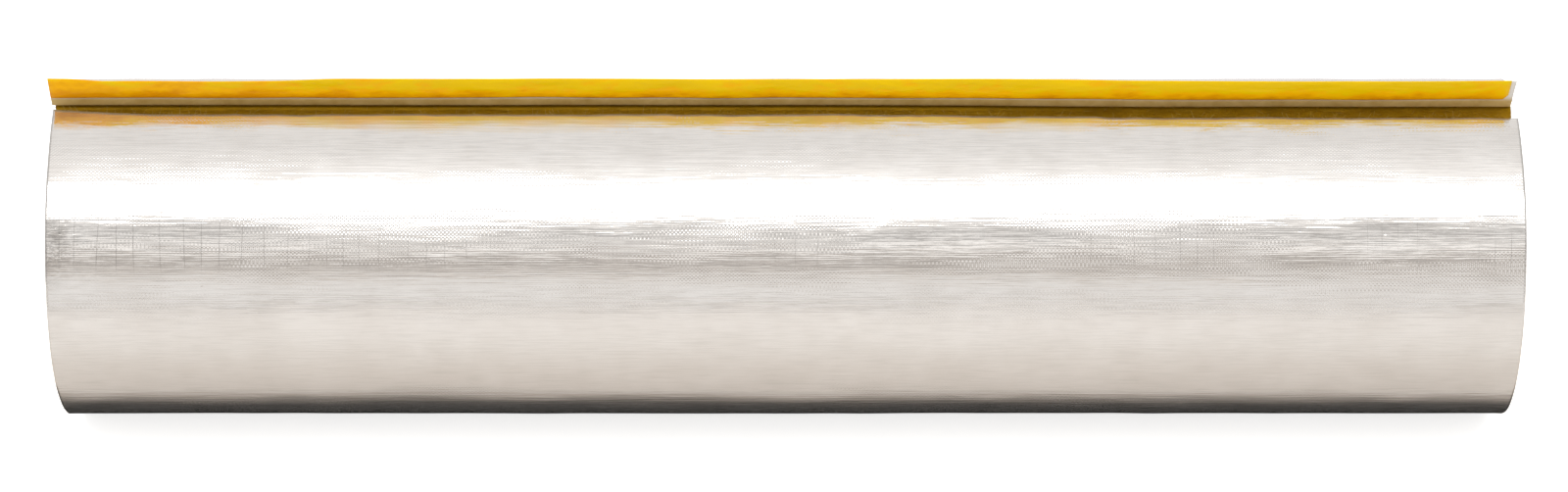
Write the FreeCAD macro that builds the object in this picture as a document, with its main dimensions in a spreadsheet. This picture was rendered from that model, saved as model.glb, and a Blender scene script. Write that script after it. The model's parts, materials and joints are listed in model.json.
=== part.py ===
import FreeCAD, Part
import math
import os

import Sketcher
from FreeCAD import Rotation, Vector

# One section of mineral wool pipe insulation, faced with a foil laminate.
# X runs along the bore, Z is up through the slit, and the origin is the centre of the bore.
# "Near" is the -Y lip of the slit. "Far" is the +Y lip, where the facing stands up as the overlap flap.

# name, value in millimetres (flap_lean in degrees), what it is
SIZES = [
    ("section_length", 1200.0, "length of the section"),
    ("bore_diameter", 160.0, "bore, for a pipe of 159 mm"),
    ("wool_wall", 60.0, "thickness of the wool"),
    ("near_lip_left", 5.0, "from the middle plane to the near lip, at the -X end"),
    ("near_lip_right", 10.5, "from the middle plane to the near lip, at the +X end"),
    ("far_lip", 8.0, "from the middle plane to the far lip"),
    ("facing_thickness", 0.3, "foil, scrim and paper laminate"),
    ("facing_setback", 1.0, "bare wool between the near lip and the facing's edge"),
    ("flap_bend", 1.5, "inside radius where the facing turns up into the flap"),
    ("flap_width", 30.0, "flap, from its bend to its free edge"),
    ("flap_lean", 12.0, "how far the flap leans back over the slit, from upright"),
    ("liner_thickness", 0.2, "release liner"),
    ("liner_margin", 3.0, "bare adhesive margin between the bend and the liner"),
    ("liner_end_margin", 3.0, "bare flap past the liner at the +X end"),
]
VALUE = {name: value for name, value, note in SIZES}

# Derived sizes, as expressions on the sheet's cells
WOOL_RADIUS = "(Sizes.bore_diameter / 2 + Sizes.wool_wall)"
BEND_OUTSIDE = "(Sizes.flap_bend + Sizes.facing_thickness)"
BEND_CENTRE_Y = "(Sizes.far_lip + Sizes.flap_bend + Sizes.facing_thickness)"
HALF_LENGTH = "Sizes.section_length / 2"


def make_sheet(doc):
    sheet = doc.addObject("Spreadsheet::Sheet", "Sizes")
    for row, (name, value, note) in enumerate(SIZES, start=1):
        sheet.set(f"A{row}", name)
        sheet.set(f"B{row}", str(value))
        sheet.set(f"C{row}", note)
        sheet.setAlias(f"B{row}", name)
    doc.recompute()


def make_sketch(body, name, role):
    sketch = body.newObject("Sketcher::SketchObject", name)
    planes = [plane for plane in body.Origin.OriginFeatures if plane.Role == role]
    sketch.AttachmentSupport = [(planes[0], "")]
    sketch.MapMode = "FlatFace"
    return sketch


def drive(sketch, name, constraint, expression):
    # A dimension of the sketch that follows the sheet
    index = sketch.addConstraint(constraint)
    sketch.renameConstraint(index, name)
    sketch.setExpression(f"Constraints.{name}", expression)


def add_outline(sketch, corners):
    # A closed outline of straight lines; line i runs from corner i to the next
    for i, corner in enumerate(corners):
        following = corners[(i + 1) % len(corners)]
        sketch.addGeometry(Part.LineSegment(Vector(*corner, 0), Vector(*following, 0)), False)
    for i in range(len(corners)):
        sketch.addConstraint(Sketcher.Constraint("Coincident", i, 2, (i + 1) % len(corners), 1))


def add_plan_cut(body, name, near_inset, far_value, far_expression):
    # Plan of the slit: the near side tapers from end to end and the far side is parallel to the bore.
    # near_inset widens the near side, for a piece whose edge stands back from the lip.
    half = VALUE["section_length"] / 2
    inset = VALUE[near_inset] if near_inset else 0.0
    inset_expression = f" + Sizes.{near_inset}" if near_inset else ""
    left = VALUE["near_lip_left"] + inset
    right = VALUE["near_lip_right"] + inset
    sketch = make_sketch(body, name, "XY_Plane")
    add_outline(sketch, [(-half, -left), (half, -right), (half, far_value), (-half, far_value)])
    sketch.addConstraint(Sketcher.Constraint("Vertical", 1))
    sketch.addConstraint(Sketcher.Constraint("Horizontal", 2))
    sketch.addConstraint(Sketcher.Constraint("Vertical", 3))
    drive(sketch, "left_end", Sketcher.Constraint("DistanceX", 0, 1, -1, 1, half), HALF_LENGTH)
    drive(sketch, "right_end", Sketcher.Constraint("DistanceX", -1, 1, 0, 2, half), HALF_LENGTH)
    drive(sketch, "near_left", Sketcher.Constraint("DistanceY", 0, 1, -1, 1, left),
          "Sizes.near_lip_left" + inset_expression)
    drive(sketch, "near_right", Sketcher.Constraint("DistanceY", 0, 2, -1, 1, right),
          "Sizes.near_lip_right" + inset_expression)
    drive(sketch, "far_side", Sketcher.Constraint("DistanceY", -1, 1, 2, 1, far_value), far_expression)
    return sketch


def add_length_pad(body, name, sketch):
    # The section pulled out to the full length, half of it on each side of the origin
    pad = body.newObject("PartDesign::Pad", name)
    pad.Profile = sketch
    pad.SideType = "Symmetric"
    pad.setExpression("Length", "Sizes.section_length")
    return pad


def add_upward_pocket(doc, body, name, sketch, length_expression):
    # Cuts upwards from the bore's axis, through the top of the wall only
    base = body.Tip
    pocket = body.newObject("PartDesign::Pocket", name)
    pocket.Profile = sketch
    pocket.Reversed = True
    pocket.Type = "Length"
    pocket.setExpression("Length", length_expression)
    doc.recompute()
    if pocket.Shape.Volume >= base.Shape.Volume:
        raise RuntimeError(f"{name} cuts nothing from {body.Name}")
    return pocket


def make_wool_shell(doc):
    body = doc.addObject("PartDesign::Body", "wool_shell")
    body.Label = "wool_shell"
    ring = make_sketch(body, "wool_ring", "YZ_Plane")
    bore = VALUE["bore_diameter"] / 2
    outside = bore + VALUE["wool_wall"]
    for radius in (bore, outside):
        ring.addGeometry(Part.Circle(Vector(0, 0, 0), Vector(0, 0, 1), radius), False)
    for circle in (0, 1):
        ring.addConstraint(Sketcher.Constraint("Coincident", circle, 3, -1, 1))
    drive(ring, "bore", Sketcher.Constraint("Radius", 0, bore), "Sizes.bore_diameter / 2")
    drive(ring, "outside", Sketcher.Constraint("Radius", 1, outside), WOOL_RADIUS)
    add_length_pad(body, "wool_length", ring)
    doc.recompute()
    plan = add_plan_cut(body, "slit_plan", None, VALUE["far_lip"], "Sizes.far_lip")
    add_upward_pocket(doc, body, "slit", plan, f"{WOOL_RADIUS} + Sizes.wool_wall")
    return body


def make_foil_facing(doc):
    # The laminate's cross-section: round the wool, then a tight bend up into the flap
    body = doc.addObject("PartDesign::Body", "foil_facing")
    body.Label = "foil_facing"
    wool = VALUE["bore_diameter"] / 2 + VALUE["wool_wall"]
    thick = VALUE["facing_thickness"]
    bend = VALUE["flap_bend"]
    width = VALUE["flap_width"]
    lean = math.radians(VALUE["flap_lean"])
    centre_y = VALUE["far_lip"] + bend + thick
    centre_z = math.sqrt((wool + thick + bend) ** 2 - centre_y ** 2)
    centre = Vector(centre_y, centre_z, 0)
    seat = math.atan2(centre_z, centre_y)
    out = Vector(-math.cos(lean), -math.sin(lean), 0)
    along = Vector(-math.sin(lean), math.cos(lean), 0)
    foot_outer = centre + out * bend
    foot_inner = centre + out * (bend + thick)

    def arc(middle, radius, start, end):
        return Part.ArcOfCircle(Part.Circle(middle, Vector(0, 0, 1), radius), start, end)

    round_start = math.pi / 2
    round_end = 2 * math.pi + seat
    bend_start = math.pi + lean
    bend_end = math.pi + seat
    sketch = make_sketch(body, "facing_section", "YZ_Plane")
    outer_wrap, inner_bend, outer_flap, free_edge, inner_flap, outer_bend, inner_wrap, near_edge = (
        sketch.addGeometry([
            arc(Vector(0, 0, 0), wool + thick, round_start, round_end),
            arc(centre, bend, bend_start, bend_end),
            Part.LineSegment(foot_outer, foot_outer + along * width),
            Part.LineSegment(foot_outer + along * width, foot_inner + along * width),
            Part.LineSegment(foot_inner + along * width, foot_inner),
            arc(centre, bend + thick, bend_start, bend_end),
            arc(Vector(0, 0, 0), wool, round_start, round_end),
            Part.LineSegment(Vector(0, wool, 0), Vector(0, wool + thick, 0)),
        ], False))
    for arguments in [
        ("Coincident", outer_wrap, 3, -1, 1),
        ("Coincident", inner_wrap, 3, -1, 1),
        ("Coincident", outer_bend, 3, inner_bend, 3),
        ("Tangent", outer_wrap, 2, inner_bend, 2),
        ("Tangent", inner_bend, 1, outer_flap, 1),
        ("Coincident", outer_flap, 2, free_edge, 1),
        ("Coincident", free_edge, 2, inner_flap, 1),
        ("Tangent", inner_flap, 2, outer_bend, 1),
        ("Tangent", outer_bend, 2, inner_wrap, 2),
        ("Coincident", inner_wrap, 1, near_edge, 1),
        ("Coincident", near_edge, 2, outer_wrap, 1),
        ("Perpendicular", outer_flap, free_edge),
        ("Perpendicular", free_edge, inner_flap),
        ("PointOnObject", near_edge, 1, -2),
        ("PointOnObject", near_edge, 2, -2),
    ]:
        sketch.addConstraint(Sketcher.Constraint(*arguments))
    drive(sketch, "wool_radius", Sketcher.Constraint("Radius", inner_wrap, wool), WOOL_RADIUS)
    drive(sketch, "facing_radius", Sketcher.Constraint("Radius", outer_wrap, wool + thick),
          f"{WOOL_RADIUS} + Sizes.facing_thickness")
    drive(sketch, "bend_radius", Sketcher.Constraint("Radius", inner_bend, bend), "Sizes.flap_bend")
    drive(sketch, "bend_place", Sketcher.Constraint("DistanceX", -1, 1, inner_bend, 3, centre_y),
          BEND_CENTRE_Y)
    drive(sketch, "flap_width", Sketcher.Constraint("Distance", outer_flap, width), "Sizes.flap_width")
    drive(sketch, "flap_angle", Sketcher.Constraint("Angle", outer_flap, math.pi / 2 + lean),
          "90 deg + Sizes.flap_lean * 1 deg")
    add_length_pad(body, "facing_length", sketch)
    doc.recompute()
    # The near edge follows the near lip. The cut stops below the flap.
    plan = add_plan_cut(body, "near_edge_plan", "facing_setback", VALUE["far_lip"] / 2, "Sizes.far_lip / 2")
    add_upward_pocket(doc, body, "near_edge_cut", plan, f"{WOOL_RADIUS} + {BEND_OUTSIDE}")
    return body


def make_release_liner(doc):
    # Drawn in the flap's own frame: local Z up the flap from the bend's centre, local -Y out of its face
    body = doc.addObject("PartDesign::Body", "release_liner")
    body.Label = "release_liner"
    face = VALUE["flap_bend"] + VALUE["facing_thickness"]
    thick = VALUE["liner_thickness"]
    foot = VALUE["liner_margin"]
    head = VALUE["flap_width"]
    sketch = make_sketch(body, "liner_section", "YZ_Plane")
    add_outline(sketch, [(-face - thick, foot), (-face, foot), (-face, head), (-face - thick, head)])
    for arguments in [("Horizontal", 0), ("Vertical", 1), ("Horizontal", 2), ("Vertical", 3)]:
        sketch.addConstraint(Sketcher.Constraint(*arguments))
    drive(sketch, "flap_face", Sketcher.Constraint("DistanceX", 1, 1, -1, 1, face), BEND_OUTSIDE)
    drive(sketch, "liner_face", Sketcher.Constraint("DistanceX", 0, 1, -1, 1, face + thick),
          f"{BEND_OUTSIDE} + Sizes.liner_thickness")
    drive(sketch, "liner_foot", Sketcher.Constraint("DistanceY", -1, 1, 0, 1, foot), "Sizes.liner_margin")
    drive(sketch, "liner_head", Sketcher.Constraint("DistanceY", -1, 1, 2, 1, head), "Sizes.flap_width")
    pad = body.newObject("PartDesign::Pad", "liner_length")
    pad.Profile = sketch
    pad.SideType = "Two sides"
    pad.setExpression("Length", f"{HALF_LENGTH} - Sizes.liner_end_margin")
    pad.setExpression("Length2", HALF_LENGTH)
    body.Placement = FreeCAD.Placement(Vector(0, 0, 0), Rotation(Vector(1, 0, 0), VALUE["flap_lean"]))
    body.setExpression("Placement.Base.y", BEND_CENTRE_Y)
    body.setExpression("Placement.Base.z",
                       f"sqrt(pow({WOOL_RADIUS} + {BEND_OUTSIDE}; 2) - pow({BEND_CENTRE_Y}; 2))")
    body.setExpression("Placement.Rotation.Angle", "Sizes.flap_lean * 1 deg")
    return body


def check_document(doc, bodies):
    for thing in doc.Objects:
        if "Invalid" in thing.State or "Error" in thing.State:
            raise RuntimeError(f"{thing.Name} failed: {thing.State}")
        if thing.isDerivedFrom("Sketcher::SketchObject") and not thing.FullyConstrained:
            raise RuntimeError(f"{thing.Name} is not fully constrained")
    for body in bodies:
        if body.Shape.isNull() or not body.Shape.isValid():
            raise RuntimeError(f"{body.Label} has no valid shape")
        if len(body.Shape.Solids) != 1:
            raise RuntimeError(f"{body.Label} is {len(body.Shape.Solids)} solids")


def main():
    doc = FreeCAD.newDocument("pipe_insulation")
    make_sheet(doc)
    bodies = [make_wool_shell(doc), make_foil_facing(doc), make_release_liner(doc)]
    doc.recompute()
    check_document(doc, bodies)
    os.makedirs("parts", exist_ok=True)
    for body in bodies:
        body.Shape.exportStep(os.path.join("parts", body.Label + ".step"))
        box = body.Shape.BoundBox
        print(f"{body.Label}: {body.Shape.Volume / 1000:.1f} cm3,"
              f" X {box.XMin:.2f} to {box.XMax:.2f},"
              f" Y {box.YMin:.2f} to {box.YMax:.2f}, Z {box.ZMin:.2f} to {box.ZMax:.2f}")


main()
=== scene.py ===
import json
import math

import bmesh
import bpy
import numpy as np
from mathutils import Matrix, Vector


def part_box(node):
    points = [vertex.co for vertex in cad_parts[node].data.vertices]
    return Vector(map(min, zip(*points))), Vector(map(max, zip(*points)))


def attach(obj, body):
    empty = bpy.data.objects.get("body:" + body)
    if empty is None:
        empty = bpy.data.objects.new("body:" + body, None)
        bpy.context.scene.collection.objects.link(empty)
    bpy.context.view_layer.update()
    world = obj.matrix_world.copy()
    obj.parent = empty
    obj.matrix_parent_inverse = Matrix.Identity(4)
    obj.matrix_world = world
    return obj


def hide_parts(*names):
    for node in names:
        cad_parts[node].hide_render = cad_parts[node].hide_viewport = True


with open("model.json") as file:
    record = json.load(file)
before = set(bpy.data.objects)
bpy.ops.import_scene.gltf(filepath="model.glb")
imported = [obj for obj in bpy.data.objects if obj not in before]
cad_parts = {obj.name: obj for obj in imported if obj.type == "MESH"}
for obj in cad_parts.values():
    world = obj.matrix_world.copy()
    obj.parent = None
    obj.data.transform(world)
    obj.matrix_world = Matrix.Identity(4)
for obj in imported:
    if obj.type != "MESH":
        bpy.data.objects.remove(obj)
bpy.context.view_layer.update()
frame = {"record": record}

# Mineral wool pipe insulation: a slit wool shell in a foil wrap, whose overlap flap stands up off the
# far lip of the slit with its yellow release liner still on. X runs along the bore and Z is up.

print("stage: sizes from the frame")
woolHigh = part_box("wool_shell")[1]
facingLow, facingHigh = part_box("foil_facing")
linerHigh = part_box("release_liner")[1]
boreMount = [m for m in frame["record"]["mounts"] if m["name"] == "pipe_bore"][0]
boreRadius = boreMount["dims"]["r_mm"] / 1000
woolRadius = woolHigh.y
halfLength = woolHigh.x
facingThickness = facingHigh.y - woolRadius
floorHeight = facingLow.z - 0.0006
fullTurn = 2 * math.pi


def smooth(edgeA, edgeB, value):
    # 0 before edgeA, 1 after edgeB, with an easy curve between
    part = np.clip((value - edgeA) / (edgeB - edgeA), 0, 1)
    return part * part * (3 - 2 * part)


def lumps(points, size, seed):
    # Smooth random lumps, -1 to 1: random values on a cubic lattice of the given spacing, eased between
    # corners. size is one number or one for each axis.
    table = np.random.default_rng(seed).uniform(-1, 1, (32, 32, 32))
    scaled = points / np.broadcast_to(size, (3,))
    cell = np.floor(scaled).astype(int)
    part = scaled - cell
    part = part * part * (3 - 2 * part)
    total = np.zeros(len(points))
    for corner in np.ndindex(2, 2, 2):
        weight = np.prod(np.where(corner, part, 1 - part), axis=1)
        x, y, z = ((cell + corner) % 32).T
        total += weight * table[x, y, z]
    return total


def sheetLumps(along, across, sizeAlong, sizeAcross, seed):
    # The same lumps on a flat sheet
    points = np.stack([along, across, np.full_like(along, 0.5)], axis=1)
    return lumps(points, (sizeAlong, sizeAcross, 1.0), seed)


def finishMesh(name, points, faces, uv=None, smoothShading=True):
    # Puts arrays into a mesh object, with an optional UV for each point
    mesh = bpy.data.meshes.new(name)
    mesh.from_pydata(points.tolist(), [], faces.tolist())
    if uv is not None:
        corner = np.empty(len(mesh.loops), dtype=np.int32)
        mesh.loops.foreach_get("vertex_index", corner)
        layer = mesh.uv_layers.new(name="sheetMap")
        layer.data.foreach_set("uv", uv[corner].astype(np.float32).ravel())
    mesh.polygons.foreach_set("use_smooth", np.full(len(mesh.polygons), smoothShading))
    mesh.update()
    piece = bpy.data.objects.new(name, mesh)
    bpy.context.collection.objects.link(piece)
    return piece


def latticeSkin(name, counts, place):
    # The closed skin of a block of cells: each lattice point on the block's six sides is put where
    # place(a, b, c) says, with a, b and c from 0 to 1 across the block. Also gives each face's side,
    # 0 and 1 for the ends of a, 2 and 3 for b, 4 and 5 for c.
    steps = np.meshgrid(*[np.arange(n + 1) for n in counts], indexing="ij")
    onSkin = np.zeros(steps[0].shape, dtype=bool)
    for step, count in zip(steps, counts):
        onSkin |= (step == 0) | (step == count)
    number = np.full(onSkin.shape, -1)
    number[onSkin] = np.arange(onSkin.sum())
    points, uv = place(*[step[onSkin] / count for step, count in zip(steps, counts)])
    faces = []
    sides = []
    for axis in range(3):
        for end in (0, 1):
            sheet = np.take(number, -end, axis=axis)
            if (end == 1) == (axis == 1):
                sheet = sheet.T
            quads = np.stack([sheet[:-1, :-1], sheet[:-1, 1:], sheet[1:, 1:], sheet[1:, :-1]], axis=-1)
            faces.append(quads.reshape(-1, 4))
            sides.append(np.full(len(faces[-1]), 2 * axis + end))
    piece = finishMesh(name, points, np.concatenate(faces), uv)
    return piece, np.concatenate(sides)


def pointNormalsOut(piece):
    # Turns every face of a closed mesh outwards
    work = bmesh.new()
    work.from_mesh(piece.data)
    bmesh.ops.recalc_face_normals(work, faces=work.faces)
    work.to_mesh(piece.data)
    work.free()


slit = {
    "nearLip": 0.0077,        # middle plane to the near lip, over most of the length
    "nearLipRight": 0.0046,   # how much wider it opens towards the +X end
    "nearLipLeft": 0.0064,    # how much it closes right at the -X end
    "leftReach": 0.045,       # length over which it closes there
    "farLip": 0.0080,         # middle plane to the far lip
    "farLipRight": 0.0012,    # how much the far lip comes in towards the +X end
    "waver": 0.0005,          # unevenness of both lips
}

flap = {
    "bend": 0.0015,           # inside radius where the wrap turns up
    "overhang": 0.0026,       # how far the wrap runs on over the slit before it turns up
    "overhangRight": 0.0012,  # how much more towards the +X end
    "width": 0.0301,          # from the bend to the free edge
    "lean": math.radians(12), # back over the slit, from upright
    "leanWaver": math.radians(1.6),
    "edgeWaver": 0.0005,      # free edge, up and down
    "bulge": 0.0007,          # waves in its face
    "shiftLeft": (0.0034, 0.0038),   # how far its -X end lies towards -X, at the bend and at the free edge
    "shiftRight": (0.0044, 0.0024),  # and its +X end
}


def nearLipAt(x):
    wide = slit["nearLip"] + slit["nearLipRight"] * smooth(0.02, 0.36, x)
    closing = slit["nearLipLeft"] * np.exp(-(x + halfLength) / slit["leftReach"])
    return wide - closing + slit["waver"] * sheetLumps(x, x * 0, 0.031, 1.0, 11)


def farLipAt(x):
    wander = slit["waver"] * sheetLumps(x, x * 0, 0.083, 1.0, 12)
    return slit["farLip"] - slit["farLipRight"] * smooth(0.05, 0.3, x) + wander


def bendCentre(x):
    # Y of the line the wrap bends round
    overhang = flap["overhang"] + flap["overhangRight"] * smooth(0.05, 0.3, x)
    return farLipAt(x) + flap["bend"] + facingThickness - overhang


def flapWidthAt(x):
    return flap["width"] + flap["edgeWaver"] * sheetLumps(x, x * 0, 0.09, 1.0, 37)


def flapShift(x, part):
    # How far the standing flap lies towards -X, with part 0 at its bend and 1 at its free edge
    left = flap["shiftLeft"][0] + (flap["shiftLeft"][1] - flap["shiftLeft"][0]) * part
    right = flap["shiftRight"][0] + (flap["shiftRight"][1] - flap["shiftRight"][0]) * part
    return left + (right - left) * (x + halfLength) / (2 * halfLength)


def flapPlace(x, rise, offset):
    # A point on the standing flap: rise is up the flap from its bend (negative values run back round the
    # bend), and offset is out of its foil face, the +Y one. Returns Y, Z.
    radius = flap["bend"] + facingThickness / 2
    lean = flap["lean"] + flap["leanWaver"] * sheetLumps(x, x * 0, 0.21, 1.0, 13)
    centreY = bendCentre(x)
    reach = woolRadius + facingThickness + flap["bend"]
    centreZ = np.sqrt(reach ** 2 - centreY ** 2)
    seat = math.pi + np.arctan2(centreZ, centreY)
    upright = math.pi + lean
    turn = np.clip(-rise / (radius * (seat - upright)), 0, 1)
    angle = upright + (seat - upright) * turn
    straight = np.maximum(rise, 0)
    wave = flap["bulge"] * sheetLumps(x, straight, 0.047, 0.019, 14) * np.clip(straight / 0.012, 0, 1)
    out = radius - offset - wave
    y = centreY + out * np.cos(angle) - straight * np.sin(lean)
    z = centreZ + out * np.sin(angle) + straight * np.cos(lean)
    return y, z


def addNode(tree, kind, inputs=None, **settings):
    # A node with its settings made and its inputs set or linked
    node = tree.nodes.new(kind)
    for key, value in settings.items():
        setattr(node, key, value)
    for key, value in (inputs or {}).items():
        if isinstance(value, bpy.types.NodeSocket):
            tree.links.new(value, node.inputs[key])
        else:
            node.inputs[key].default_value = value
    return node


def newGroup(name, inputs, outputs):
    # A shader group with its sockets: (name, socket type, default) for inputs, (name, type) for outputs
    group = bpy.data.node_groups.new(name, "ShaderNodeTree")
    for socketName, kind, default in inputs:
        socket = group.interface.new_socket(name=socketName, in_out="INPUT", socket_type=kind)
        if default is not None:
            socket.default_value = default
    for socketName, kind in outputs:
        group.interface.new_socket(name=socketName, in_out="OUTPUT", socket_type=kind)
    return group, group.nodes.new("NodeGroupInput"), group.nodes.new("NodeGroupOutput")


def placeGroup(tree, group, inputs):
    # A group placed in a tree, with this tree's own values
    node = tree.nodes.new("ShaderNodeGroup")
    node.node_tree = group
    for key, value in inputs.items():
        if isinstance(value, bpy.types.NodeSocket):
            tree.links.new(value, node.inputs[key])
        else:
            node.inputs[key].default_value = value
    return node


def newMaterial(name):
    material = bpy.data.materials.new(name)
    material.use_nodes = True
    tree = material.node_tree
    tree.nodes.clear()
    output = tree.nodes.new("ShaderNodeOutputMaterial")
    shader = tree.nodes.new("ShaderNodeBsdfPrincipled")
    tree.links.new(shader.outputs["BSDF"], output.inputs["Surface"])
    return material, tree, shader


def mathNode(tree, operation, a, b=0.0):
    return addNode(tree, "ShaderNodeMath", {0: a, 1: b}, operation=operation).outputs[0]


def multiplyAdd(tree, a, b, c):
    # a times b, plus c
    return addNode(tree, "ShaderNodeMath", {0: a, 1: b, 2: c}, operation="MULTIPLY_ADD").outputs[0]


def stretched(tree, vector, scale):
    return addNode(tree, "ShaderNodeMapping", {"Vector": vector, "Scale": scale}).outputs["Vector"]


def ramp(tree, value, stops):
    # A colour ramp from (position, colour) stops
    node = addNode(tree, "ShaderNodeValToRGB", {"Fac": value})
    elements = node.color_ramp.elements
    while len(elements) < len(stops):
        elements.new(1.0)
    for element, (position, colour) in zip(elements, stops):
        element.position = position
        element.color = (*colour, 1.0)
    return node.outputs["Color"]


def makeMottleGroup():
    # Broad uneven patches: one soft noise over another a third its size, 0 to 1
    group, given, result = newGroup("softMottle", [
        ("Vector", "NodeSocketVector", None), ("Scale", "NodeSocketFloat", 20.0)],
        [("Mask", "NodeSocketFloat")])
    broad = addNode(group, "ShaderNodeTexNoise", {
        "Vector": given.outputs["Vector"], "Scale": given.outputs["Scale"], "Detail": 3.0})
    fineScale = mathNode(group, "MULTIPLY", given.outputs["Scale"], 3.1)
    fine = addNode(group, "ShaderNodeTexNoise", {
        "Vector": given.outputs["Vector"], "Scale": fineScale, "Detail": 2.0})
    both = mathNode(group, "MULTIPLY", broad.outputs["Fac"], 0.68)
    total = addNode(group, "ShaderNodeMath", {
        0: fine.outputs["Fac"], 1: 0.32, 2: both}, operation="MULTIPLY_ADD")
    group.links.new(total.outputs[0], result.inputs["Mask"])
    return group


laminate = {
    "fineLines": (26, 430, 1),    # how often each noise repeats along the sheet and across it
    "longLines": (7, 170, 1),
    "streaks": (12, 330, 1),
    "dashes": (120, 300, 1),
    "grooves": (34, 700, 1),
    "crinkles": (34, 46, 1),
    "pipCells": (70, 95, 1),
    "pipAbove": 0.78,             # cells with a higher random value than this have a pip
    "linePitch": 0.0018,
    "dotPitch": (0.0032, 0.0027),
    "threadsPerMetre": 61.0,
    "threadsAt": 0.124,           # round from the near edge, the middle of the stretch where threads show
    "threadsFade": (0.018, 0.034),
    "threadsManyTo": (-0.42, -0.36),
}


def makeReliefGroup():
    # The laminate's relief on its sheet map, in metres: fine lines along it broken into dashes, a dotted
    # weave in some patches, thin cross threads about 16 mm apart in others, crinkles, and stray pips
    group, given, result = newGroup("laminateRelief", [
        ("Vector", "NodeSocketVector", None), ("Line", "NodeSocketFloat", 1.0),
        ("Weave", "NodeSocketFloat", 1.0), ("Thread", "NodeSocketFloat", 1.0),
        ("Crinkle", "NodeSocketFloat", 1.0), ("Pip", "NodeSocketFloat", 1.0)],
        [("Height", "NodeSocketFloat"), ("Threads", "NodeSocketFloat"), ("Folds", "NodeSocketFloat"),
         ("Grooves", "NodeSocketFloat")])
    vector = given.outputs["Vector"]
    split = addNode(group, "ShaderNodeSeparateXYZ", {"Vector": vector})
    u, v = split.outputs["X"], split.outputs["Y"]

    def noise(scale, detail, **more):
        texture = addNode(group, "ShaderNodeTexNoise", {
            "Vector": stretched(group, vector, scale), "Scale": 1.0, "Detail": detail, **more})
        return texture.outputs["Fac"]

    def patches(scale, low, high):
        return addNode(group, "ShaderNodeMapRange", {
            "Value": noise(scale, 2.0), "From Min": low, "From Max": high}).outputs[0]

    def wave(value, pitch):
        return mathNode(group, "SINE", mathNode(group, "MULTIPLY", value, fullTurn / pitch))

    fine = noise(laminate["fineLines"], 2.0)
    long = noise(laminate["longLines"], 2.0)
    dashes = noise(laminate["dashes"], 2.0)
    wandering = multiplyAdd(group, noise((9, 40, 1), 2.0), 0.004, v)
    lines = multiplyAdd(group, dashes, 0.5, fine)
    streaks = noise(laminate["streaks"], 2.0)
    lines = multiplyAdd(group, streaks, 1.5, lines)
    lines = multiplyAdd(group, long, 0.6, lines)
    lines = multiplyAdd(group, wave(wandering, laminate["linePitch"]), 0.11, lines)
    pitchAlong, pitchAcross = laminate["dotPitch"]
    dots = mathNode(group, "MULTIPLY", wave(u, pitchAlong), wave(v, pitchAcross))
    weave = mathNode(group, "MULTIPLY", dots, patches((5, 30, 1), 0.46, 0.6))
    drift = mathNode(group, "MULTIPLY", noise((14, 1.5, 1), 1.0), 2.6)
    drifting = multiplyAdd(group, u, laminate["threadsPerMetre"], drift)
    place = mathNode(group, "ABSOLUTE", mathNode(group, "SUBTRACT", mathNode(group, "FRACT", drifting), 0.5))
    thread = addNode(group, "ShaderNodeMapRange", {
        "Value": place, "From Min": 0.0, "From Max": 0.035, "To Min": 1.0, "To Max": 0.0}).outputs[0]
    fromFront = mathNode(group, "ABSOLUTE", mathNode(group, "SUBTRACT", v, laminate["threadsAt"]))
    inFront = addNode(group, "ShaderNodeMapRange", {
        "Value": fromFront, "From Min": laminate["threadsFade"][0], "From Max": laminate["threadsFade"][1],
        "To Min": 1.0, "To Max": 0.0}).outputs[0]
    some = mathNode(group, "MULTIPLY", patches((7, 12, 1), 0.46, 0.58), 0.8)
    nearEnd = addNode(group, "ShaderNodeMapRange", {
        "Value": u, "From Min": laminate["threadsManyTo"][0], "From Max": laminate["threadsManyTo"][1],
        "To Min": 1.0, "To Max": 0.0}).outputs[0]
    many = mathNode(group, "MAXIMUM", some, nearEnd)
    threads = mathNode(group, "MULTIPLY", thread, mathNode(group, "MULTIPLY", inFront, many))
    crinkle = noise(laminate["crinkles"], 4.0, Distortion=0.8)
    cells = addNode(group, "ShaderNodeTexVoronoi", {
        "Vector": stretched(group, vector, laminate["pipCells"]), "Scale": 1.0})
    pip = addNode(group, "ShaderNodeMapRange", {
        "Value": cells.outputs["Distance"], "From Min": 0.0, "From Max": 0.08,
        "To Min": 1.0, "To Max": 0.0}).outputs[0]
    chosen = addNode(group, "ShaderNodeSeparateColor", {"Color": cells.outputs["Color"]}).outputs["Red"]
    pips = mathNode(group, "MULTIPLY", pip, mathNode(group, "GREATER_THAN", chosen, laminate["pipAbove"]))
    total = mathNode(group, "MULTIPLY", lines, given.outputs["Line"])
    for part, socket in [(weave, "Weave"), (threads, "Thread"), (crinkle, "Crinkle"), (pips, "Pip")]:
        total = multiplyAdd(group, part, given.outputs[socket], total)
    # Grooves and Folds are masks only, which the foil uses with Threads for painted shade
    grooves = addNode(group, "ShaderNodeMapRange", {
        "Value": noise(laminate["grooves"], 1.0), "From Min": 0.36, "From Max": 0.52,
        "To Min": 1.0, "To Max": 0.0}).outputs[0]
    folds = addNode(group, "ShaderNodeMapRange", {
        "Value": crinkle, "From Min": 0.42, "From Max": 0.56, "To Min": 1.0, "To Max": 0.0}).outputs[0]
    group.links.new(total, result.inputs["Height"])
    group.links.new(threads, result.inputs["Threads"])
    group.links.new(folds, result.inputs["Folds"])
    group.links.new(grooves, result.inputs["Grooves"])
    return group


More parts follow.
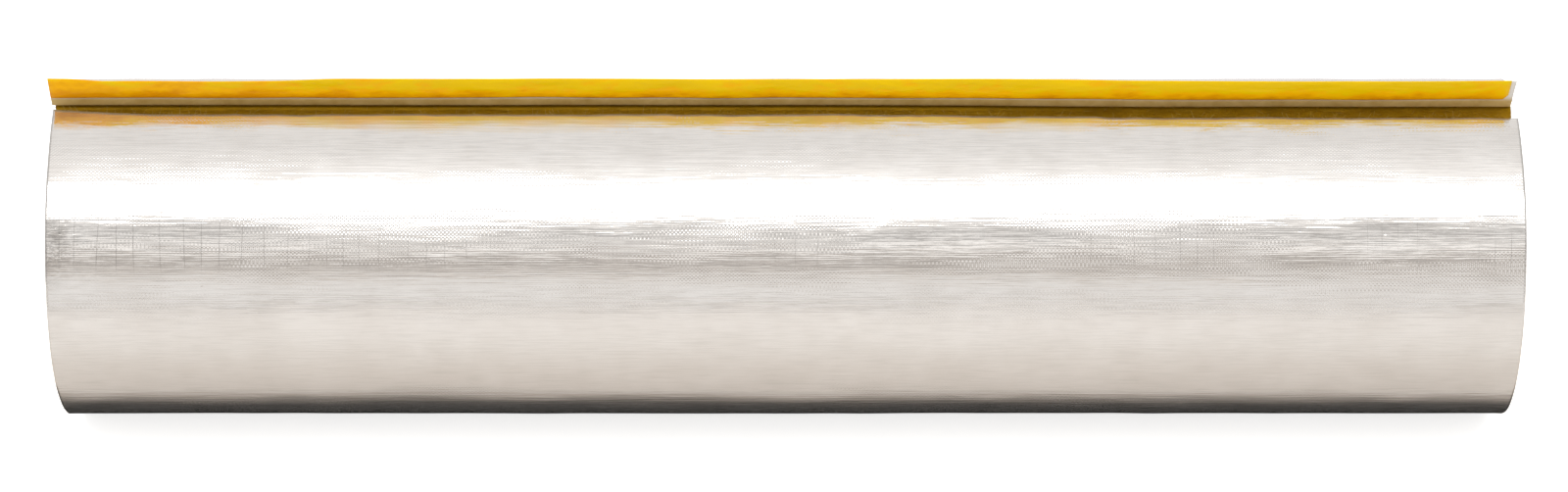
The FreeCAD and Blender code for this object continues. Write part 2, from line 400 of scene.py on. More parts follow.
def makeFibreGroup():
    # Matted fibres: thin streaks laid three ways over each other, and painted shade in the gaps between them
    group, given, result = newGroup("mattedFibre", [
        ("Vector", "NodeSocketVector", None), ("Scale", "NodeSocketFloat", 1.0)],
        [("Height", "NodeSocketFloat"), ("GapShade", "NodeSocketFloat")])
    scaled = addNode(group, "ShaderNodeVectorMath", {
        0: given.outputs["Vector"], 3: given.outputs["Scale"]}, operation="SCALE").outputs["Vector"]
    total = None
    for stretch in [(140, 900, 900), (900, 150, 800), (820, 900, 160)]:
        streaks = addNode(group, "ShaderNodeTexNoise", {
            "Vector": stretched(group, scaled, stretch), "Scale": 1.0, "Detail": 2.0, "Distortion": 0.4})
        ridge = mathNode(group, "POWER", streaks.outputs["Fac"], 2.2)
        total = ridge if total is None else mathNode(group, "MAXIMUM", total, ridge)
    clumps = addNode(group, "ShaderNodeTexNoise", {"Vector": scaled, "Scale": 130.0, "Detail": 4.0})
    height = multiplyAdd(group, clumps.outputs["Fac"], 0.9, total)
    gapShade = addNode(group, "ShaderNodeMapRange", {
        "Value": height, "From Min": 0.45, "From Max": 0.95}).outputs[0]
    group.links.new(height, result.inputs["Height"])
    group.links.new(gapShade, result.inputs["GapShade"])
    return group


print("stage: materials")
softMottle = makeMottleGroup()
laminateRelief = makeReliefGroup()
mattedFibre = makeFibreGroup()

foilFinish = {
    "bright": (0.80, 0.765, 0.73),
    "dull": (0.74, 0.70, 0.66),
    # crushed: painted shade colour, for the crumpled corners and for the threads and grooves
    "crushedShaded": (0.42, 0.39, 0.36),
    "roughLow": 0.05,
    "roughHigh": 0.12,
    "bumpDepth": 0.00034,
    "metallic": 0.88,
    "threadShade": 0.34,       # how far painted shade darkens threads and grooves, towards the crushed shade colour
    "grooveShade": 0.13,
    "crushedTo": (-0.6, -0.562),    # the crushed end, with its painted shade, fades out between these, along X
}


def makeFoilMaterial():
    # Bright laminate. Its two handled corners at the -X end are crushed: more crinkled there, and darkened
    # with painted shade, most in the folds. Painted shade also darkens its cross threads and grooves
    material, tree, shader = newMaterial("reinforcedFoil")
    sheet = addNode(tree, "ShaderNodeUVMap", uv_map="sheetMap").outputs["UV"]
    split = addNode(tree, "ShaderNodeSeparateXYZ", {"Vector": sheet})
    u, v = split.outputs["X"], split.outputs["Y"]
    mottle = placeGroup(tree, softMottle, {"Vector": sheet, "Scale": 22.0}).outputs["Mask"]
    patchy = mathNode(tree, "MULTIPLY", mathNode(tree, "SUBTRACT", mottle, 0.5), 0.09)
    byEnd = addNode(tree, "ShaderNodeMapRange", {
        "Value": mathNode(tree, "ADD", u, patchy),
        "From Min": foilFinish["crushedTo"][0], "From Max": foilFinish["crushedTo"][1],
        "To Min": 1.0, "To Max": 0.0}, interpolation_type="SMOOTHSTEP").outputs[0]
    fromBand = mathNode(tree, "ABSOLUTE", mathNode(tree, "SUBTRACT", v, 0.134))
    inBand = addNode(tree, "ShaderNodeMapRange", {
        "Value": fromBand, "From Min": 0.012, "From Max": 0.045, "To Min": 1.0, "To Max": 0.0},
        interpolation_type="SMOOTHSTEP").outputs[0]
    byLip = addNode(tree, "ShaderNodeMapRange", {
        "Value": v, "From Min": 0.012, "From Max": 0.028, "To Min": 0.55, "To Max": 0.0}).outputs[0]
    crushedShaded = mathNode(tree, "MULTIPLY", byEnd, mathNode(tree, "MAXIMUM", inBand, byLip))
    handled = multiplyAdd(tree, byLip, 1.6, 0.45)
    crinkle = multiplyAdd(tree, crushedShaded, 2.6, handled)
    relief = placeGroup(tree, laminateRelief, {
        "Vector": sheet, "Line": 0.3, "Weave": 0.17, "Thread": 0.3, "Crinkle": crinkle, "Pip": 0.3})
    colour = ramp(tree, mottle, [(0.3, foilFinish["dull"]), (0.62, foilFinish["bright"])])
    # Painted shade: the crushed corners go towards the dark colour, most in the folds, and so do the threads
    # and grooves
    foldShade = multiplyAdd(tree, relief.outputs["Folds"], 0.6, 0.3)
    wearAndShade = mathNode(tree, "MAXIMUM", mathNode(tree, "MULTIPLY", crushedShaded, foldShade),
                    mathNode(tree, "MULTIPLY", relief.outputs["Threads"], foilFinish["threadShade"]))
    grooveShading = mathNode(tree, "MULTIPLY", relief.outputs["Grooves"], foilFinish["grooveShade"])
    wearAndShade = mathNode(tree, "MAXIMUM", wearAndShade, grooveShading)
    colour = addNode(tree, "ShaderNodeMix", {0: wearAndShade, 6: colour, 7: (*foilFinish["crushedShaded"], 1.0)},
                     data_type="RGBA").outputs[2]
    rough = addNode(tree, "ShaderNodeMapRange", {
        "Value": mottle, "From Min": 0.3, "From Max": 0.7,
        "To Min": foilFinish["roughLow"], "To Max": foilFinish["roughHigh"]}).outputs[0]
    bump = addNode(tree, "ShaderNodeBump", {
        "Height": relief.outputs["Height"], "Strength": 1.0, "Distance": foilFinish["bumpDepth"]})
    tree.links.new(colour, shader.inputs["Base Color"])
    tree.links.new(rough, shader.inputs["Roughness"])
    tree.links.new(bump.outputs["Normal"], shader.inputs["Normal"])
    shader.inputs["Metallic"].default_value = foilFinish["metallic"]
    return material


backingFinish = {
    # light and dark: tan colours of painted yellow bounce light and shade; bare: the paper's own colour
    "light": (0.62, 0.43, 0.16),
    "dark": (0.48, 0.30, 0.08),
    "bare": (0.78, 0.74, 0.68),
    "bounceShadeTo": (0.147, 0.153),      # the painted yellow bounce light and shade fades out between these heights
}


def makeBackingMaterial():
    # The wool side of the laminate: paper with the scrim showing through, tan low on the flap as painted
    # yellow bounce light and shade from the wool
    material, tree, shader = newMaterial("laminateBacking")
    sheet = addNode(tree, "ShaderNodeUVMap", uv_map="sheetMap").outputs["UV"]
    relief = placeGroup(tree, laminateRelief, {
        "Vector": sheet, "Line": 0.25, "Weave": 0.2, "Thread": 0.3, "Crinkle": 0.6, "Pip": 0.0})
    mottle = placeGroup(tree, softMottle, {"Vector": sheet, "Scale": 60.0}).outputs["Mask"]
    # Painted bounce light and shade: tan below the given heights, the paper's own colour above
    bounceShaded = ramp(tree, mottle, [(0.3, backingFinish["dark"]), (0.65, backingFinish["light"])])
    place = addNode(tree, "ShaderNodeTexCoord").outputs["Object"]
    height = addNode(tree, "ShaderNodeSeparateXYZ", {"Vector": place}).outputs["Z"]
    bare = addNode(tree, "ShaderNodeMapRange", {
        "Value": height, "From Min": backingFinish["bounceShadeTo"][0],
        "From Max": backingFinish["bounceShadeTo"][1]}).outputs[0]
    colour = addNode(tree, "ShaderNodeMix", {0: bare, 6: bounceShaded, 7: (*backingFinish["bare"], 1.0)},
                     data_type="RGBA").outputs[2]
    bump = addNode(tree, "ShaderNodeBump", {
        "Height": relief.outputs["Height"], "Strength": 0.6, "Distance": 0.0004})
    tree.links.new(colour, shader.inputs["Base Color"])
    tree.links.new(bump.outputs["Normal"], shader.inputs["Normal"])
    shader.inputs["Roughness"].default_value = 0.45
    return material


linerFinish = {
    "yellow": (0.94, 0.61, 0.001),
    "amber": (1.0, 0.50, 0.001),
    "orange": (0.80, 0.31, 0.001),
}


def makeLinerMaterial():
    # Glossy release film, patchy, deeper in colour towards the -X end and towards its foot
    material, tree, shader = newMaterial("releaseFilm")
    sheet = addNode(tree, "ShaderNodeUVMap", uv_map="sheetMap").outputs["UV"]
    split = addNode(tree, "ShaderNodeSeparateXYZ", {"Vector": sheet})
    mottle = placeGroup(tree, softMottle, {
        "Vector": stretched(tree, sheet, (0.9, 1.9, 1)), "Scale": 30.0}).outputs["Mask"]
    along = addNode(tree, "ShaderNodeMapRange", {
        "Value": split.outputs["X"], "From Min": -0.6, "From Max": -0.25,
        "To Min": -0.2, "To Max": 0.0}).outputs[0]
    up = addNode(tree, "ShaderNodeMapRange", {
        "Value": split.outputs["Y"], "From Min": 0.008, "From Max": 0.021,
        "To Min": -0.24, "To Max": 0.1}).outputs[0]
    tone = mathNode(tree, "ADD", mathNode(tree, "ADD", mottle, along), up)
    colour = ramp(tree, tone, [(0.2, linerFinish["orange"]), (0.42, linerFinish["amber"]),
                               (0.58, linerFinish["yellow"])])
    bump = addNode(tree, "ShaderNodeBump", {"Height": mottle, "Strength": 0.6, "Distance": 0.002})
    tree.links.new(colour, shader.inputs["Base Color"])
    tree.links.new(bump.outputs["Normal"], shader.inputs["Normal"])
    shader.inputs["Roughness"].default_value = 0.22
    shader.inputs["Specular IOR Level"].default_value = 0.12
    return material


woolFinish = {
    "pale": (0.80, 0.60, 0.15),
    "golden": (0.64, 0.43, 0.05),
    "deep": (0.40, 0.24, 0.012),
    # lip: the slit faces' colour with painted shade on it
    "lip": (0.40, 0.205, 0.002),
    "creaseShadow": (0.06, 0.028, 0.002),
    "ringsPerMetre": 185.0,
    "slitFade": (0.012, 0.018),     # the slit faces' painted shade fades out between these, off the middle plane and in between these heights, and its painted crease shadow between the next
    "slitShadeFrom": (0.112, 0.126),    # and in between these heights, and its dark crease between the next
    "creaseShadowFrom": (0.1362, 0.1386),
}


def makeWoolMaterial():
    # Bonded wool: matted streaks over clumps, thin rings where its layers show at the ends, painted shade
    # on the slit faces near the top, and a painted shadow line in the crease under the flap
    material, tree, shader = newMaterial("bondedWool")
    place = addNode(tree, "ShaderNodeTexCoord").outputs["Object"]
    fibre = placeGroup(tree, mattedFibre, {"Vector": place, "Scale": 1.0})
    mottle = placeGroup(tree, softMottle, {"Vector": place, "Scale": 26.0}).outputs["Mask"]
    split = addNode(tree, "ShaderNodeSeparateXYZ", {"Vector": place})
    flat = addNode(tree, "ShaderNodeCombineXYZ", {"Y": split.outputs["Y"], "Z": split.outputs["Z"]})
    radius = addNode(tree, "ShaderNodeVectorMath", {0: flat.outputs[0]}, operation="LENGTH").outputs["Value"]
    rings = mathNode(tree, "MULTIPLY", radius, woolFinish["ringsPerMetre"])
    wander = multiplyAdd(tree, mottle, 1.7, rings)
    layer = addNode(tree, "ShaderNodeTexNoise", {"W": wander, "Scale": 1.0, "Detail": 3.0},
                    noise_dimensions="1D").outputs["Fac"]
    tone = multiplyAdd(tree, layer, 0.26, mathNode(tree, "MULTIPLY", mottle, 0.3))
    # Painted shade in the gaps between fibres
    shade = multiplyAdd(tree, fibre.outputs["GapShade"], 0.42, tone)
    colour = ramp(tree, shade, [(0.25, woolFinish["deep"]), (0.5, woolFinish["golden"]),
                                (0.85, woolFinish["pale"])])
    fromMiddle = mathNode(tree, "ABSOLUTE", split.outputs["Y"])
    # Painted shade: the slit faces go towards the lip colour near the top
    inSlit = addNode(tree, "ShaderNodeMapRange", {
        "Value": fromMiddle, "From Min": woolFinish["slitFade"][0], "From Max": woolFinish["slitFade"][1],
        "To Min": 0.9, "To Max": 0.0}).outputs[0]
    high = addNode(tree, "ShaderNodeMapRange", {
        "Value": split.outputs["Z"], "From Min": woolFinish["slitShadeFrom"][0],
        "From Max": woolFinish["slitShadeFrom"][1]}).outputs[0]
    slitShaded = mathNode(tree, "MULTIPLY", inSlit, high)
    colour = addNode(tree, "ShaderNodeMix", {0: slitShaded, 6: colour, 7: (*woolFinish["lip"], 1.0)},
                     data_type="RGBA").outputs[2]
    # Painted shadow: a dark line along the top of the slit faces, under the flap's bend
    creaseShadowed = addNode(tree, "ShaderNodeMapRange", {
        "Value": split.outputs["Z"], "From Min": woolFinish["creaseShadowFrom"][0],
        "From Max": woolFinish["creaseShadowFrom"][1], "To Max": 0.9}).outputs[0]
    colour = addNode(tree, "ShaderNodeMix", {
        0: mathNode(tree, "MULTIPLY", inSlit, creaseShadowed), 6: colour, 7: (*woolFinish["creaseShadow"], 1.0)},
        data_type="RGBA").outputs[2]
    relief = multiplyAdd(tree, layer, 0.4, fibre.outputs["Height"])
    bump = addNode(tree, "ShaderNodeBump", {"Height": relief, "Strength": 0.9, "Distance": 0.0016})
    tree.links.new(colour, shader.inputs["Base Color"])
    tree.links.new(bump.outputs["Normal"], shader.inputs["Normal"])
    shader.inputs["Roughness"].default_value = 0.92
    shader.inputs["Specular IOR Level"].default_value = 0.08
    return material


wispFinish = {
    "pale": (0.70, 0.52, 0.18),
    "golden": (0.46, 0.29, 0.035),
}


def makeWispMaterial():
    material, tree, shader = newMaterial("looseFibre")
    place = addNode(tree, "ShaderNodeTexCoord").outputs["Object"]
    mottle = placeGroup(tree, softMottle, {"Vector": place, "Scale": 55.0}).outputs["Mask"]
    colour = ramp(tree, mottle, [(0.35, wispFinish["golden"]), (0.6, wispFinish["pale"])])
    tree.links.new(colour, shader.inputs["Base Color"])
    shader.inputs["Roughness"].default_value = 0.6
    return material


foilMaterial = makeFoilMaterial()
backingMaterial = makeBackingMaterial()
linerMaterial = makeLinerMaterial()
woolMaterial = makeWoolMaterial()
wispMaterial = makeWispMaterial()


wool = {
    "cells": (96, 16, 320),   # round, through the wall, along
    "underWrap": 0.0009,      # how far the wool stays in from the wrap
    "lipRound": 0.0022,       # how much the lips are worn down
    "rough": 0.0007,          # unevenness of the cut faces
    "roughFine": 0.0005,
    "endSag": 0.0011,         # how far layers stand proud of each other at the ends
    "lipSink": 0.0030,        # how far the lips sink back at the +X end
    "lipReach": 0.0022,       # and reach out at the -X end
}


def placeWool(a, b, c):
    # A thick ring, open at the slit: radius grows with b, the angle from the near lip round to the far
    # lip grows with a, and both slit walls are flat and upright. Cut faces are roughened by lumps.
    x = halfLength * (2 * c - 1)
    outer = woolRadius - wool["underWrap"]
    radius = boreRadius + (outer - boreRadius) * b
    start = np.arcsin(nearLipAt(x) / radius)
    end = fullTurn - np.arcsin(farLipAt(x) / radius)
    angle = start + (end - start) * a
    toLip = np.minimum(angle - start, end - angle) * radius
    wearAndShade = wool["lipRound"] * np.exp(-toLip / 0.0025) * smooth(0.75, 1.0, b)
    radius = radius - wearAndShade
    points = np.stack([x, -np.sin(angle) * radius, np.cos(angle) * radius], axis=1)
    broad = [lumps(points, 0.016, seed) for seed in (21, 22, 23)]
    fine = [lumps(points, 0.0048, seed) for seed in (24, 25, 26)]
    shake = wool["rough"] * np.stack(broad, axis=1) + wool["roughFine"] * np.stack(fine, axis=1)
    points = points + shake * (1 - 0.8 * (b == 1) * (toLip > 0.004))[:, None]
    atEnd = (c == 1) * 1.0 - (c == 0) * 1.0
    layers = lumps(np.stack([radius, angle * 0.05, angle * 0], axis=1), (0.0042, 0.03, 1.0), 27)
    points[:, 0] = points[:, 0] - atEnd * wool["endSag"] * (0.75 + 0.5 * layers)
    byLip = np.exp(-toLip / 0.03) * (b ** 3)
    points[:, 0] = points[:, 0] - ((c == 1) * wool["lipSink"] + (c == 0) * wool["lipReach"]) * byLip
    return points, None


def makeWool():
    piece = latticeSkin("wool_body", wool["cells"], placeWool)[0]
    piece.data.materials.append(woolMaterial)
    pointNormalsOut(piece)
    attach(piece, "root")
    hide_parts("wool_shell")
    return piece


wrap = {
    "wrapSteps": 126,         # round the wool
    "bendSteps": 6,
    "flapSteps": 18,
    "lengthSteps": 300,
    "setback": 0.0008,        # near edge, back from the lip
    "edgeRagged": 0.0009,
    "swell": 0.00045,         # long shallow waves
    "dent": 0.00035,          # shorter dents
    "lipCrinkle": 0.0003,     # crinkles by the near edge
    "endCrush": 0.0006,       # puckers at the ends
    "lipReach": 0.0016,       # how far the near edge runs past the -X end
    "liftReach": 0.012,       # over what length it stands up
    "lipLift": 0.0014,        # how far the near edge stands up
    "tear": 0.0007,           # crumpled patches at the ends
}


def placeWrap(a, b, c):
    # A sheet carried round the wool from the near edge to the far lip, then round a tight bend and up
    # the flap. b goes through its thickness. The wrap part is moved in and out by waves and puckers, and
    # stands up at its near edge. That edge also reaches past the -X end, and the flap lies towards -X.
    # The steps along it are less than half as long at the ends as in the middle, and the steps round the
    # wool are shortest at the near edge.
    t = 2 * c - 1
    x = halfLength * (1.25 * t - 0.25 * t ** 3)
    step = a * (wrap["wrapSteps"] + wrap["bendSteps"] + wrap["flapSteps"])
    wrapPart = np.clip(step / wrap["wrapSteps"], 0, 1)
    bendPart = np.clip((step - wrap["wrapSteps"]) / wrap["bendSteps"], 0, 1)
    flapPart = np.clip((step - wrap["wrapSteps"] - wrap["bendSteps"]) / wrap["flapSteps"], 0, 1)
    ragged = wrap["edgeRagged"] * sheetLumps(x, x * 0, 0.011, 1.0, 31)
    start = np.arcsin((nearLipAt(x) + wrap["setback"] + ragged) / woolRadius)
    reach = woolRadius + facingThickness + flap["bend"]
    end = fullTurn - np.arcsin(bendCentre(x) / reach)
    closer = 0.35 * wrapPart + 0.65 * wrapPart ** 1.6
    angle = start + (end - start) * closer
    arc = angle * woolRadius
    fromEdge = (angle - start) * woolRadius
    fromBend = (end - angle) * woolRadius
    free = smooth(0.0, 0.03, fromBend)
    swell = wrap["swell"] * sheetLumps(x, arc, 0.16, 0.05, 32)
    dents = wrap["dent"] * sheetLumps(x, arc, 0.034, 0.021, 33)
    upper = np.exp(-fromEdge / 0.05)
    crinkle = wrap["lipCrinkle"] * upper * sheetLumps(x, arc, 0.022, 0.013, 34)
    fromEnd = halfLength - np.abs(x)
    crush = wrap["endCrush"] * np.exp(-fromEnd / 0.012) * sheetLumps(x, arc, 0.02, 0.013, 35)
    torn = np.exp(-(x + halfLength) / 0.016) * np.exp(-((arc - 0.133) / 0.032) ** 2)
    torn = torn + np.exp(-(halfLength - x) / 0.010) * np.exp(-((arc - 0.056) / 0.018) ** 2)
    crumple = wrap["tear"] * torn * sheetLumps(x, arc, 0.007, 0.006, 38)
    lift = wrap["lipLift"] * np.exp(-fromEdge / wrap["liftReach"])
    moved = free * (swell + dents + crinkle + crush + crumple) + lift
    through = facingThickness * (b - 0.5)
    radius = woolRadius + facingThickness / 2 + through + moved
    wrapY = -np.sin(angle) * radius
    wrapZ = np.cos(angle) * radius
    lean = flap["lean"]
    bendLength = (flap["bend"] + facingThickness / 2) * (math.pi / 2 - lean)
    width = flapWidthAt(x)
    rise = np.where(bendPart < 1, -bendLength * 1.2 * (1 - bendPart), width * flapPart)
    flapY, flapZ = flapPlace(x, rise, through)
    onWrap = step <= wrap["wrapSteps"]
    y = np.where(onWrap, wrapY, flapY)
    z = np.where(onWrap, wrapZ, flapZ)
    along = arc + bendLength * bendPart + width * flapPart
    reached = wrap["lipReach"] * np.exp(-fromEdge / 0.05) * smooth(-0.5, -0.6, x)
    turning = np.where(onWrap, np.exp(-fromBend / 0.008), 1.0)
    shifted = x - turning * flapShift(x, flapPart) - reached
    return np.stack([shifted, y, z], axis=1), np.stack([x, along], axis=1)


def makeWrap():
    counts = (wrap["wrapSteps"] + wrap["bendSteps"] + wrap["flapSteps"], 1, wrap["lengthSteps"])
    piece, sides = latticeSkin("foil_wrap", counts, placeWrap)
    piece.data.materials.append(foilMaterial)
    piece.data.materials.append(backingMaterial)
    insideOrNearEdge = (sides == 2) | (sides == 0)
    piece.data.polygons.foreach_set("material_index", insideOrNearEdge.astype(np.int32))
    piece.data.polygons.foreach_set("use_smooth", (sides == 2) | (sides == 3))
    pointNormalsOut(piece)
    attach(piece, "root")
    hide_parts("foil_facing")
    return piece


liner = {
    "cells": (22, 1, 320),    # up, through, along
    "thickness": 0.0002,
    "foot": 0.0084,           # above the bend
    "rightMargin": 0.0012,    # flap left bare at the +X end, more than the part's own
    "cornerRadius": 0.005,    # lower corner at the +X end
    "overTop": 0.0009,        # how far it stands over the flap's free edge
    "dip": 0.0027,            # where its top edge runs below the flap's
    "pucker": 0.0005,
}


def placeLiner(a, b, c):
    # A strip up the flap's slit side, from a foot above the bend to the free edge. Its foot rises round
    # the corner at the +X end, its head dips along one stretch, and it stands off the flap in puckers.
    rightEnd = linerHigh.x - liner["rightMargin"]
    x = -halfLength + (rightEnd + halfLength) * c
    toRight = np.clip(rightEnd - x, 0, liner["cornerRadius"])
    corner = liner["cornerRadius"] - np.sqrt(
        liner["cornerRadius"] ** 2 - (liner["cornerRadius"] - toRight) ** 2)
    foot = liner["foot"] + corner + 0.0004 * sheetLumps(x, x * 0, 0.05, 1.0, 41)
    dip = liner["dip"] * smooth(-0.585, -0.55, x) * (1 - smooth(-0.42, -0.36, x))
    head = flapWidthAt(x) + liner["overTop"] - dip
    rise = foot + (head - foot) * a
    pucker = liner["pucker"] * (0.5 + 0.5 * sheetLumps(x, rise, 0.028, 0.011, 42))
    held = np.clip((1 - a) / 0.15, 0, 1) * np.clip(a / 0.15, 0, 1)
    offset = -(facingThickness / 2 + 0.00002 + liner["thickness"] * b + pucker * held)
    y, z = flapPlace(x, rise, offset)
    shifted = x - flapShift(x, rise / flap["width"])
    return np.stack([shifted, y, z], axis=1), np.stack([x, rise], axis=1)


def makeLiner():
    piece, sides = latticeSkin("liner_strip", liner["cells"], placeLiner)
    piece.data.materials.append(linerMaterial)
    piece.data.polygons.foreach_set("use_smooth", (sides == 2) | (sides == 3))
    pointNormalsOut(piece)
    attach(piece, "root")
    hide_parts("release_liner")
    return piece


wisps = {
    "stations": 5,
    "sides": 3,
    "lipCount": 700,
    "endCount": 1400,
    "thick": 0.00011,
    "lipLength": (0.003, 0.010),
    "endLength": (0.002, 0.006),
}


def makeHairs(name, roots, leads, lengths, curls):
    # Thin three-sided tubes, all at once: each follows root + lead * length * t + curl * t squared, with
    # t from 0 to 1, and tapers to its tip. Both ends are closed with a triangle.
    stations, sides = wisps["stations"], wisps["sides"]
    t = np.linspace(0, 1, stations)[None, :, None]
    line = roots[:, None, :] + leads[:, None, :] * lengths[:, None, None] * t
    line = line + curls[:, None, :] * t ** 2
    heading = leads[:, None, :] + curls[:, None, :] * 2 * t / lengths[:, None, None]
    heading /= np.linalg.norm(heading, axis=2, keepdims=True)
    sideways = np.cross(heading, np.array([0.31, 0.52, 0.79]))
    sideways /= np.linalg.norm(sideways, axis=2, keepdims=True)
    upright = np.cross(heading, sideways)
    turn = np.arange(sides) * fullTurn / sides
    girth = wisps["thick"] * (1 - 0.6 * t[..., None])
    ring = np.cos(turn)[:, None] * sideways[:, :, None, :] + np.sin(turn)[:, None] * upright[:, :, None, :]
    points = (line[:, :, None, :] + girth * ring).reshape(-1, 3)
    hairs = len(roots)
    number = np.arange(hairs * stations * sides).reshape(hairs, stations, sides)
    following = np.roll(number, -1, axis=2)
    quads = np.stack([number[:, :-1], following[:, :-1], following[:, 1:], number[:, 1:]], axis=-1)
    quads = quads.reshape(-1, 4)
    faces = quads.tolist() + number[:, 0, ::-1].tolist() + number[:, -1].tolist()
    mesh = bpy.data.meshes.new(name)
    mesh.from_pydata(points.tolist(), [], faces)
    mesh.polygons.foreach_set("use_smooth", np.ones(len(mesh.polygons), dtype=bool))
    mesh.update()
    piece = bpy.data.objects.new(name, mesh)
    bpy.context.collection.objects.link(piece)
    piece.data.materials.append(wispMaterial)
    pointNormalsOut(piece)
    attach(piece, "root")
    return piece


def makeLipWisps():
    # Fibres teased out of both walls of the slit near the top, more of them on the near lip
    random = np.random.default_rng(51)
    count = wisps["lipCount"]
    x = random.uniform(-halfLength + 0.002, halfLength - 0.002, count)
    near = random.random(count) < 0.7
    depth = random.exponential(0.004, count) * np.where(near, 0.5, 2.2)
    depth = np.minimum(depth, 0.03)
    y = np.where(near, -nearLipAt(x) - 0.0006, farLipAt(x) + 0.0006)
    z = np.sqrt(woolRadius ** 2 - y ** 2) - 0.0022 - depth
    roots = np.stack([x, y, z], axis=1)
    inward = np.where(near, 1.0, -1.0)
    leads = np.stack([random.normal(0, 1.1, count), inward * random.uniform(0.3, 1.0, count),
                      random.uniform(0.0, 0.9, count) * near], axis=1)
    leads /= np.linalg.norm(leads, axis=1, keepdims=True)
    lengths = random.uniform(*wisps["lipLength"], count) * np.where(near, 1.0, 0.6)
    curls = random.normal(0, 0.0018, (count, 3))
    return makeHairs("lip_fibres", roots, leads, lengths, curls)


def makeEndWisps():
    # Fibres standing out of both end faces, lying mostly round the ring
    random = np.random.default_rng(52)
    count = wisps["endCount"]
    side = np.where(random.random(count) < 0.5, -1.0, 1.0)
    radius = random.uniform(boreRadius + 0.001, woolRadius - 0.003, count)
    angle = random.uniform(0.12, fullTurn - 0.12, count)
    radial = np.stack([angle * 0, -np.sin(angle), np.cos(angle)], axis=1)
    around = np.stack([angle * 0, -np.cos(angle), -np.sin(angle)], axis=1)
    roots = radial * radius[:, None]
    roots[:, 0] = side * (halfLength - 0.0024)
    leads = around * random.normal(0, 1.0, (count, 1)) + radial * random.normal(0, 0.35, (count, 1))
    leads[:, 0] = side * random.uniform(0.25, 0.9, count)
    leads /= np.linalg.norm(leads, axis=1, keepdims=True)
    lengths = random.uniform(*wisps["endLength"], count)
    curls = random.normal(0, 0.001, (count, 3))
    return makeHairs("end_fibres", roots, leads, lengths, curls)


print("stage: wool shell")
makeWool()
print("stage: foil wrap")
makeWrap()
print("stage: release liner")
makeLiner()
print("stage: loose fibres")
makeLipWisps()
makeEndWisps()


studio = {
    "floorColour": (0.90, 0.895, 0.885),
    # the floor as the foil's reflections show it, by distance from under the object's middle line: a dimmer
    # copy, with a painted shadow under the object
    "floorShadedInFoil": [(0.09, (0.0, 0.0, 0.0)), (0.107, (0.02, 0.015, 0.01)), (0.125, (0.34, 0.30, 0.265)),
                      (0.141, (0.69, 0.65, 0.61)), (0.2, (0.74, 0.70, 0.66)), (0.36, (0.83, 0.81, 0.785)),
                      (0.6, (0.86, 0.84, 0.82))],
    "floorGlow": 0.72,            # for the eye only; the rest of its light is lost in the shadow
    # the room's brightness by direction, in degrees: level in front is 0, overhead 90, level behind 180
    "room": [(0, 0.96), (12, 0.92), (16, 0.84), (19.5, 0.72), (23, 0.56), (27, 0.42), (31, 0.72), (35, 1.22),
             (39, 1.2), (43, 0.50), (47, 0.62), (50.8, 0.92), (54.8, 1.16), (58, 1.35), (81, 1.35),
             (85, 1.24), (88, 1.16), (92.5, 1.09), (97, 1.03), (101.7, 0.97), (106.5, 0.93), (112, 0.88),
             (118, 0.90), (125, 0.94), (180, 0.97)],
    "roomWarm": (1.0, 0.955, 0.915),  # tint of the stretch low in front
    "roomSides": 0.35,            # how much darker the room is off to the two sides
    "keyDistance": 1.9,
    "keyElevation": math.radians(66.6),
    "keySize": (3.0, 0.62),
    "keyRadiance": 3.3,
}

view = {
    "elevation": math.radians(36.9),
    "distance": 4.02,
    "lens": 110.0,
    "sideways": -0.0015,
}


def makeFloor():
    # A wide flat sheet under the object. It glows for the eye only, so that it shows white and the shadow
    # on it stays soft. The foil's reflections see a dimmer copy of it, with a painted shadow that goes black
    # right under the object.
    reach = 14.0
    corners = np.array([[-reach, -reach, floorHeight], [reach, -reach, floorHeight],
                        [reach, reach, floorHeight], [-reach, reach, floorHeight]])
    floor = finishMesh("studio_floor", corners, np.array([[0, 1, 2, 3]]), smoothShading=False)
    material = bpy.data.materials.new("paleFloor")
    material.use_nodes = True
    tree = material.node_tree
    tree.nodes.clear()
    place = addNode(tree, "ShaderNodeTexCoord").outputs["Object"]
    split = addNode(tree, "ShaderNodeSeparateXYZ", {"Vector": place})
    pastEnd = mathNode(tree, "SUBTRACT", mathNode(tree, "ABSOLUTE", split.outputs["X"]), halfLength)
    beyond = mathNode(tree, "MAXIMUM", pastEnd, 0.0)
    flat = addNode(tree, "ShaderNodeCombineXYZ", {"X": beyond, "Y": split.outputs["Y"]})
    away = addNode(tree, "ShaderNodeVectorMath", {0: flat.outputs[0]}, operation="LENGTH").outputs["Value"]
    rays = addNode(tree, "ShaderNodeLightPath")
    # Painted shadow: glossy rays see a dimmer floor, black under the object
    reflectedShade = ramp(tree, away, studio["floorShadedInFoil"])
    colour = addNode(tree, "ShaderNodeMix", {
        0: rays.outputs["Is Glossy Ray"], 6: (*studio["floorColour"], 1.0), 7: reflectedShade},
        data_type="RGBA").outputs[2]
    strength = mathNode(tree, "MULTIPLY", rays.outputs["Is Camera Ray"], studio["floorGlow"])
    glow = addNode(tree, "ShaderNodeEmission", {"Strength": strength})
    matt = addNode(tree, "ShaderNodeBsdfDiffuse", {"Color": colour})
    both = addNode(tree, "ShaderNodeAddShader", {0: matt.outputs[0], 1: glow.outputs[0]})
    output = tree.nodes.new("ShaderNodeOutputMaterial")
    tree.links.new(both.outputs[0], output.inputs["Surface"])
    floor.data.materials.append(material)


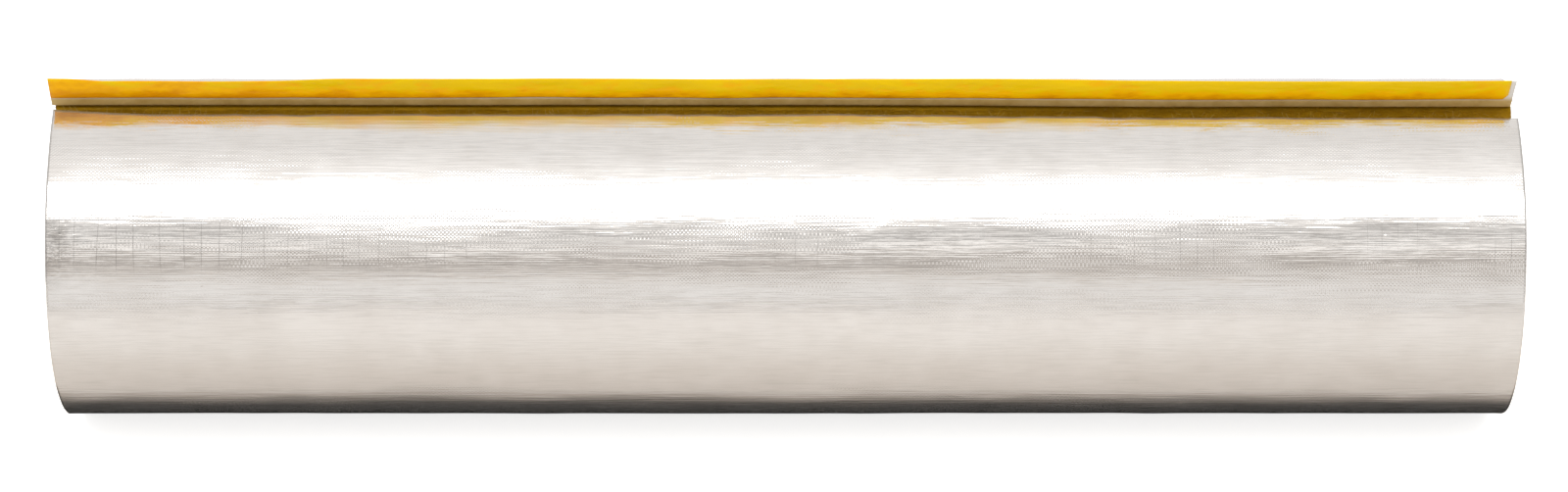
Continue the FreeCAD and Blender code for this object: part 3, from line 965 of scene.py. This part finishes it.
def makeWorld():
    # Soft light from all round: its level goes by the angle over the object, from in front to behind, and
    # falls off to the two sides
    world = bpy.data.worlds.new("studioWorld")
    bpy.context.scene.world = world
    world.use_nodes = True
    tree = world.node_tree
    tree.nodes.clear()
    place = addNode(tree, "ShaderNodeTexCoord").outputs["Generated"]
    split = addNode(tree, "ShaderNodeSeparateXYZ", {"Vector": place})
    forward = mathNode(tree, "MULTIPLY", split.outputs["Y"], -1.0)
    turned = mathNode(tree, "ARCTAN2", split.outputs["Z"], forward)
    share = mathNode(tree, "DIVIDE", turned, math.pi)
    stops = []
    for degrees, level in studio["room"]:
        tint = studio["roomWarm"] if 15 < degrees < 33 else (1.0, 1.0, 1.0)
        stops.append((degrees / 180, [level * part for part in tint]))
    levels = ramp(tree, share, stops)
    sideways = mathNode(tree, "ABSOLUTE", split.outputs["X"])
    strength = addNode(tree, "ShaderNodeMapRange", {
        "Value": sideways, "From Min": 0.17, "From Max": 0.65, "To Min": 1.0,
        "To Max": 1.0 - studio["roomSides"]}, interpolation_type="SMOOTHSTEP").outputs[0]
    light = addNode(tree, "ShaderNodeBackground", {"Color": levels, "Strength": strength})
    output = tree.nodes.new("ShaderNodeOutputWorld")
    tree.links.new(light.outputs[0], output.inputs["Surface"])


def makeKeyLight():
    # One long soft box above and in front
    lamp = bpy.data.lights.new("softBox", "AREA")
    lamp.shape = "RECTANGLE"
    lamp.size, lamp.size_y = studio["keySize"]
    lamp.energy = studio["keyRadiance"] * math.pi * lamp.size * lamp.size_y
    box = bpy.data.objects.new("softBox", lamp)
    towards = Vector((0, -math.cos(studio["keyElevation"]), math.sin(studio["keyElevation"])))
    box.location = towards * studio["keyDistance"]
    box.rotation_euler = towards.to_track_quat("Z", "Y").to_euler()
    bpy.context.collection.objects.link(box)


def makeCamera():
    lens = bpy.data.cameras.new("mainCamera")
    lens.lens = view["lens"]
    lens.sensor_width = 36.0
    camera = bpy.data.objects.new("mainCamera", lens)
    back = Vector((0, -math.cos(view["elevation"]), math.sin(view["elevation"])))
    camera.location = Vector((view["sideways"], 0, 0)) + back * view["distance"]
    camera.rotation_euler = back.to_track_quat("Z", "Y").to_euler()
    bpy.context.collection.objects.link(camera)
    bpy.context.scene.camera = camera


print("stage: floor, light and camera")
makeFloor()
makeWorld()
makeKeyLight()
makeCamera()
bpy.context.scene.view_settings.view_transform = "Standard"

print("stage: done")
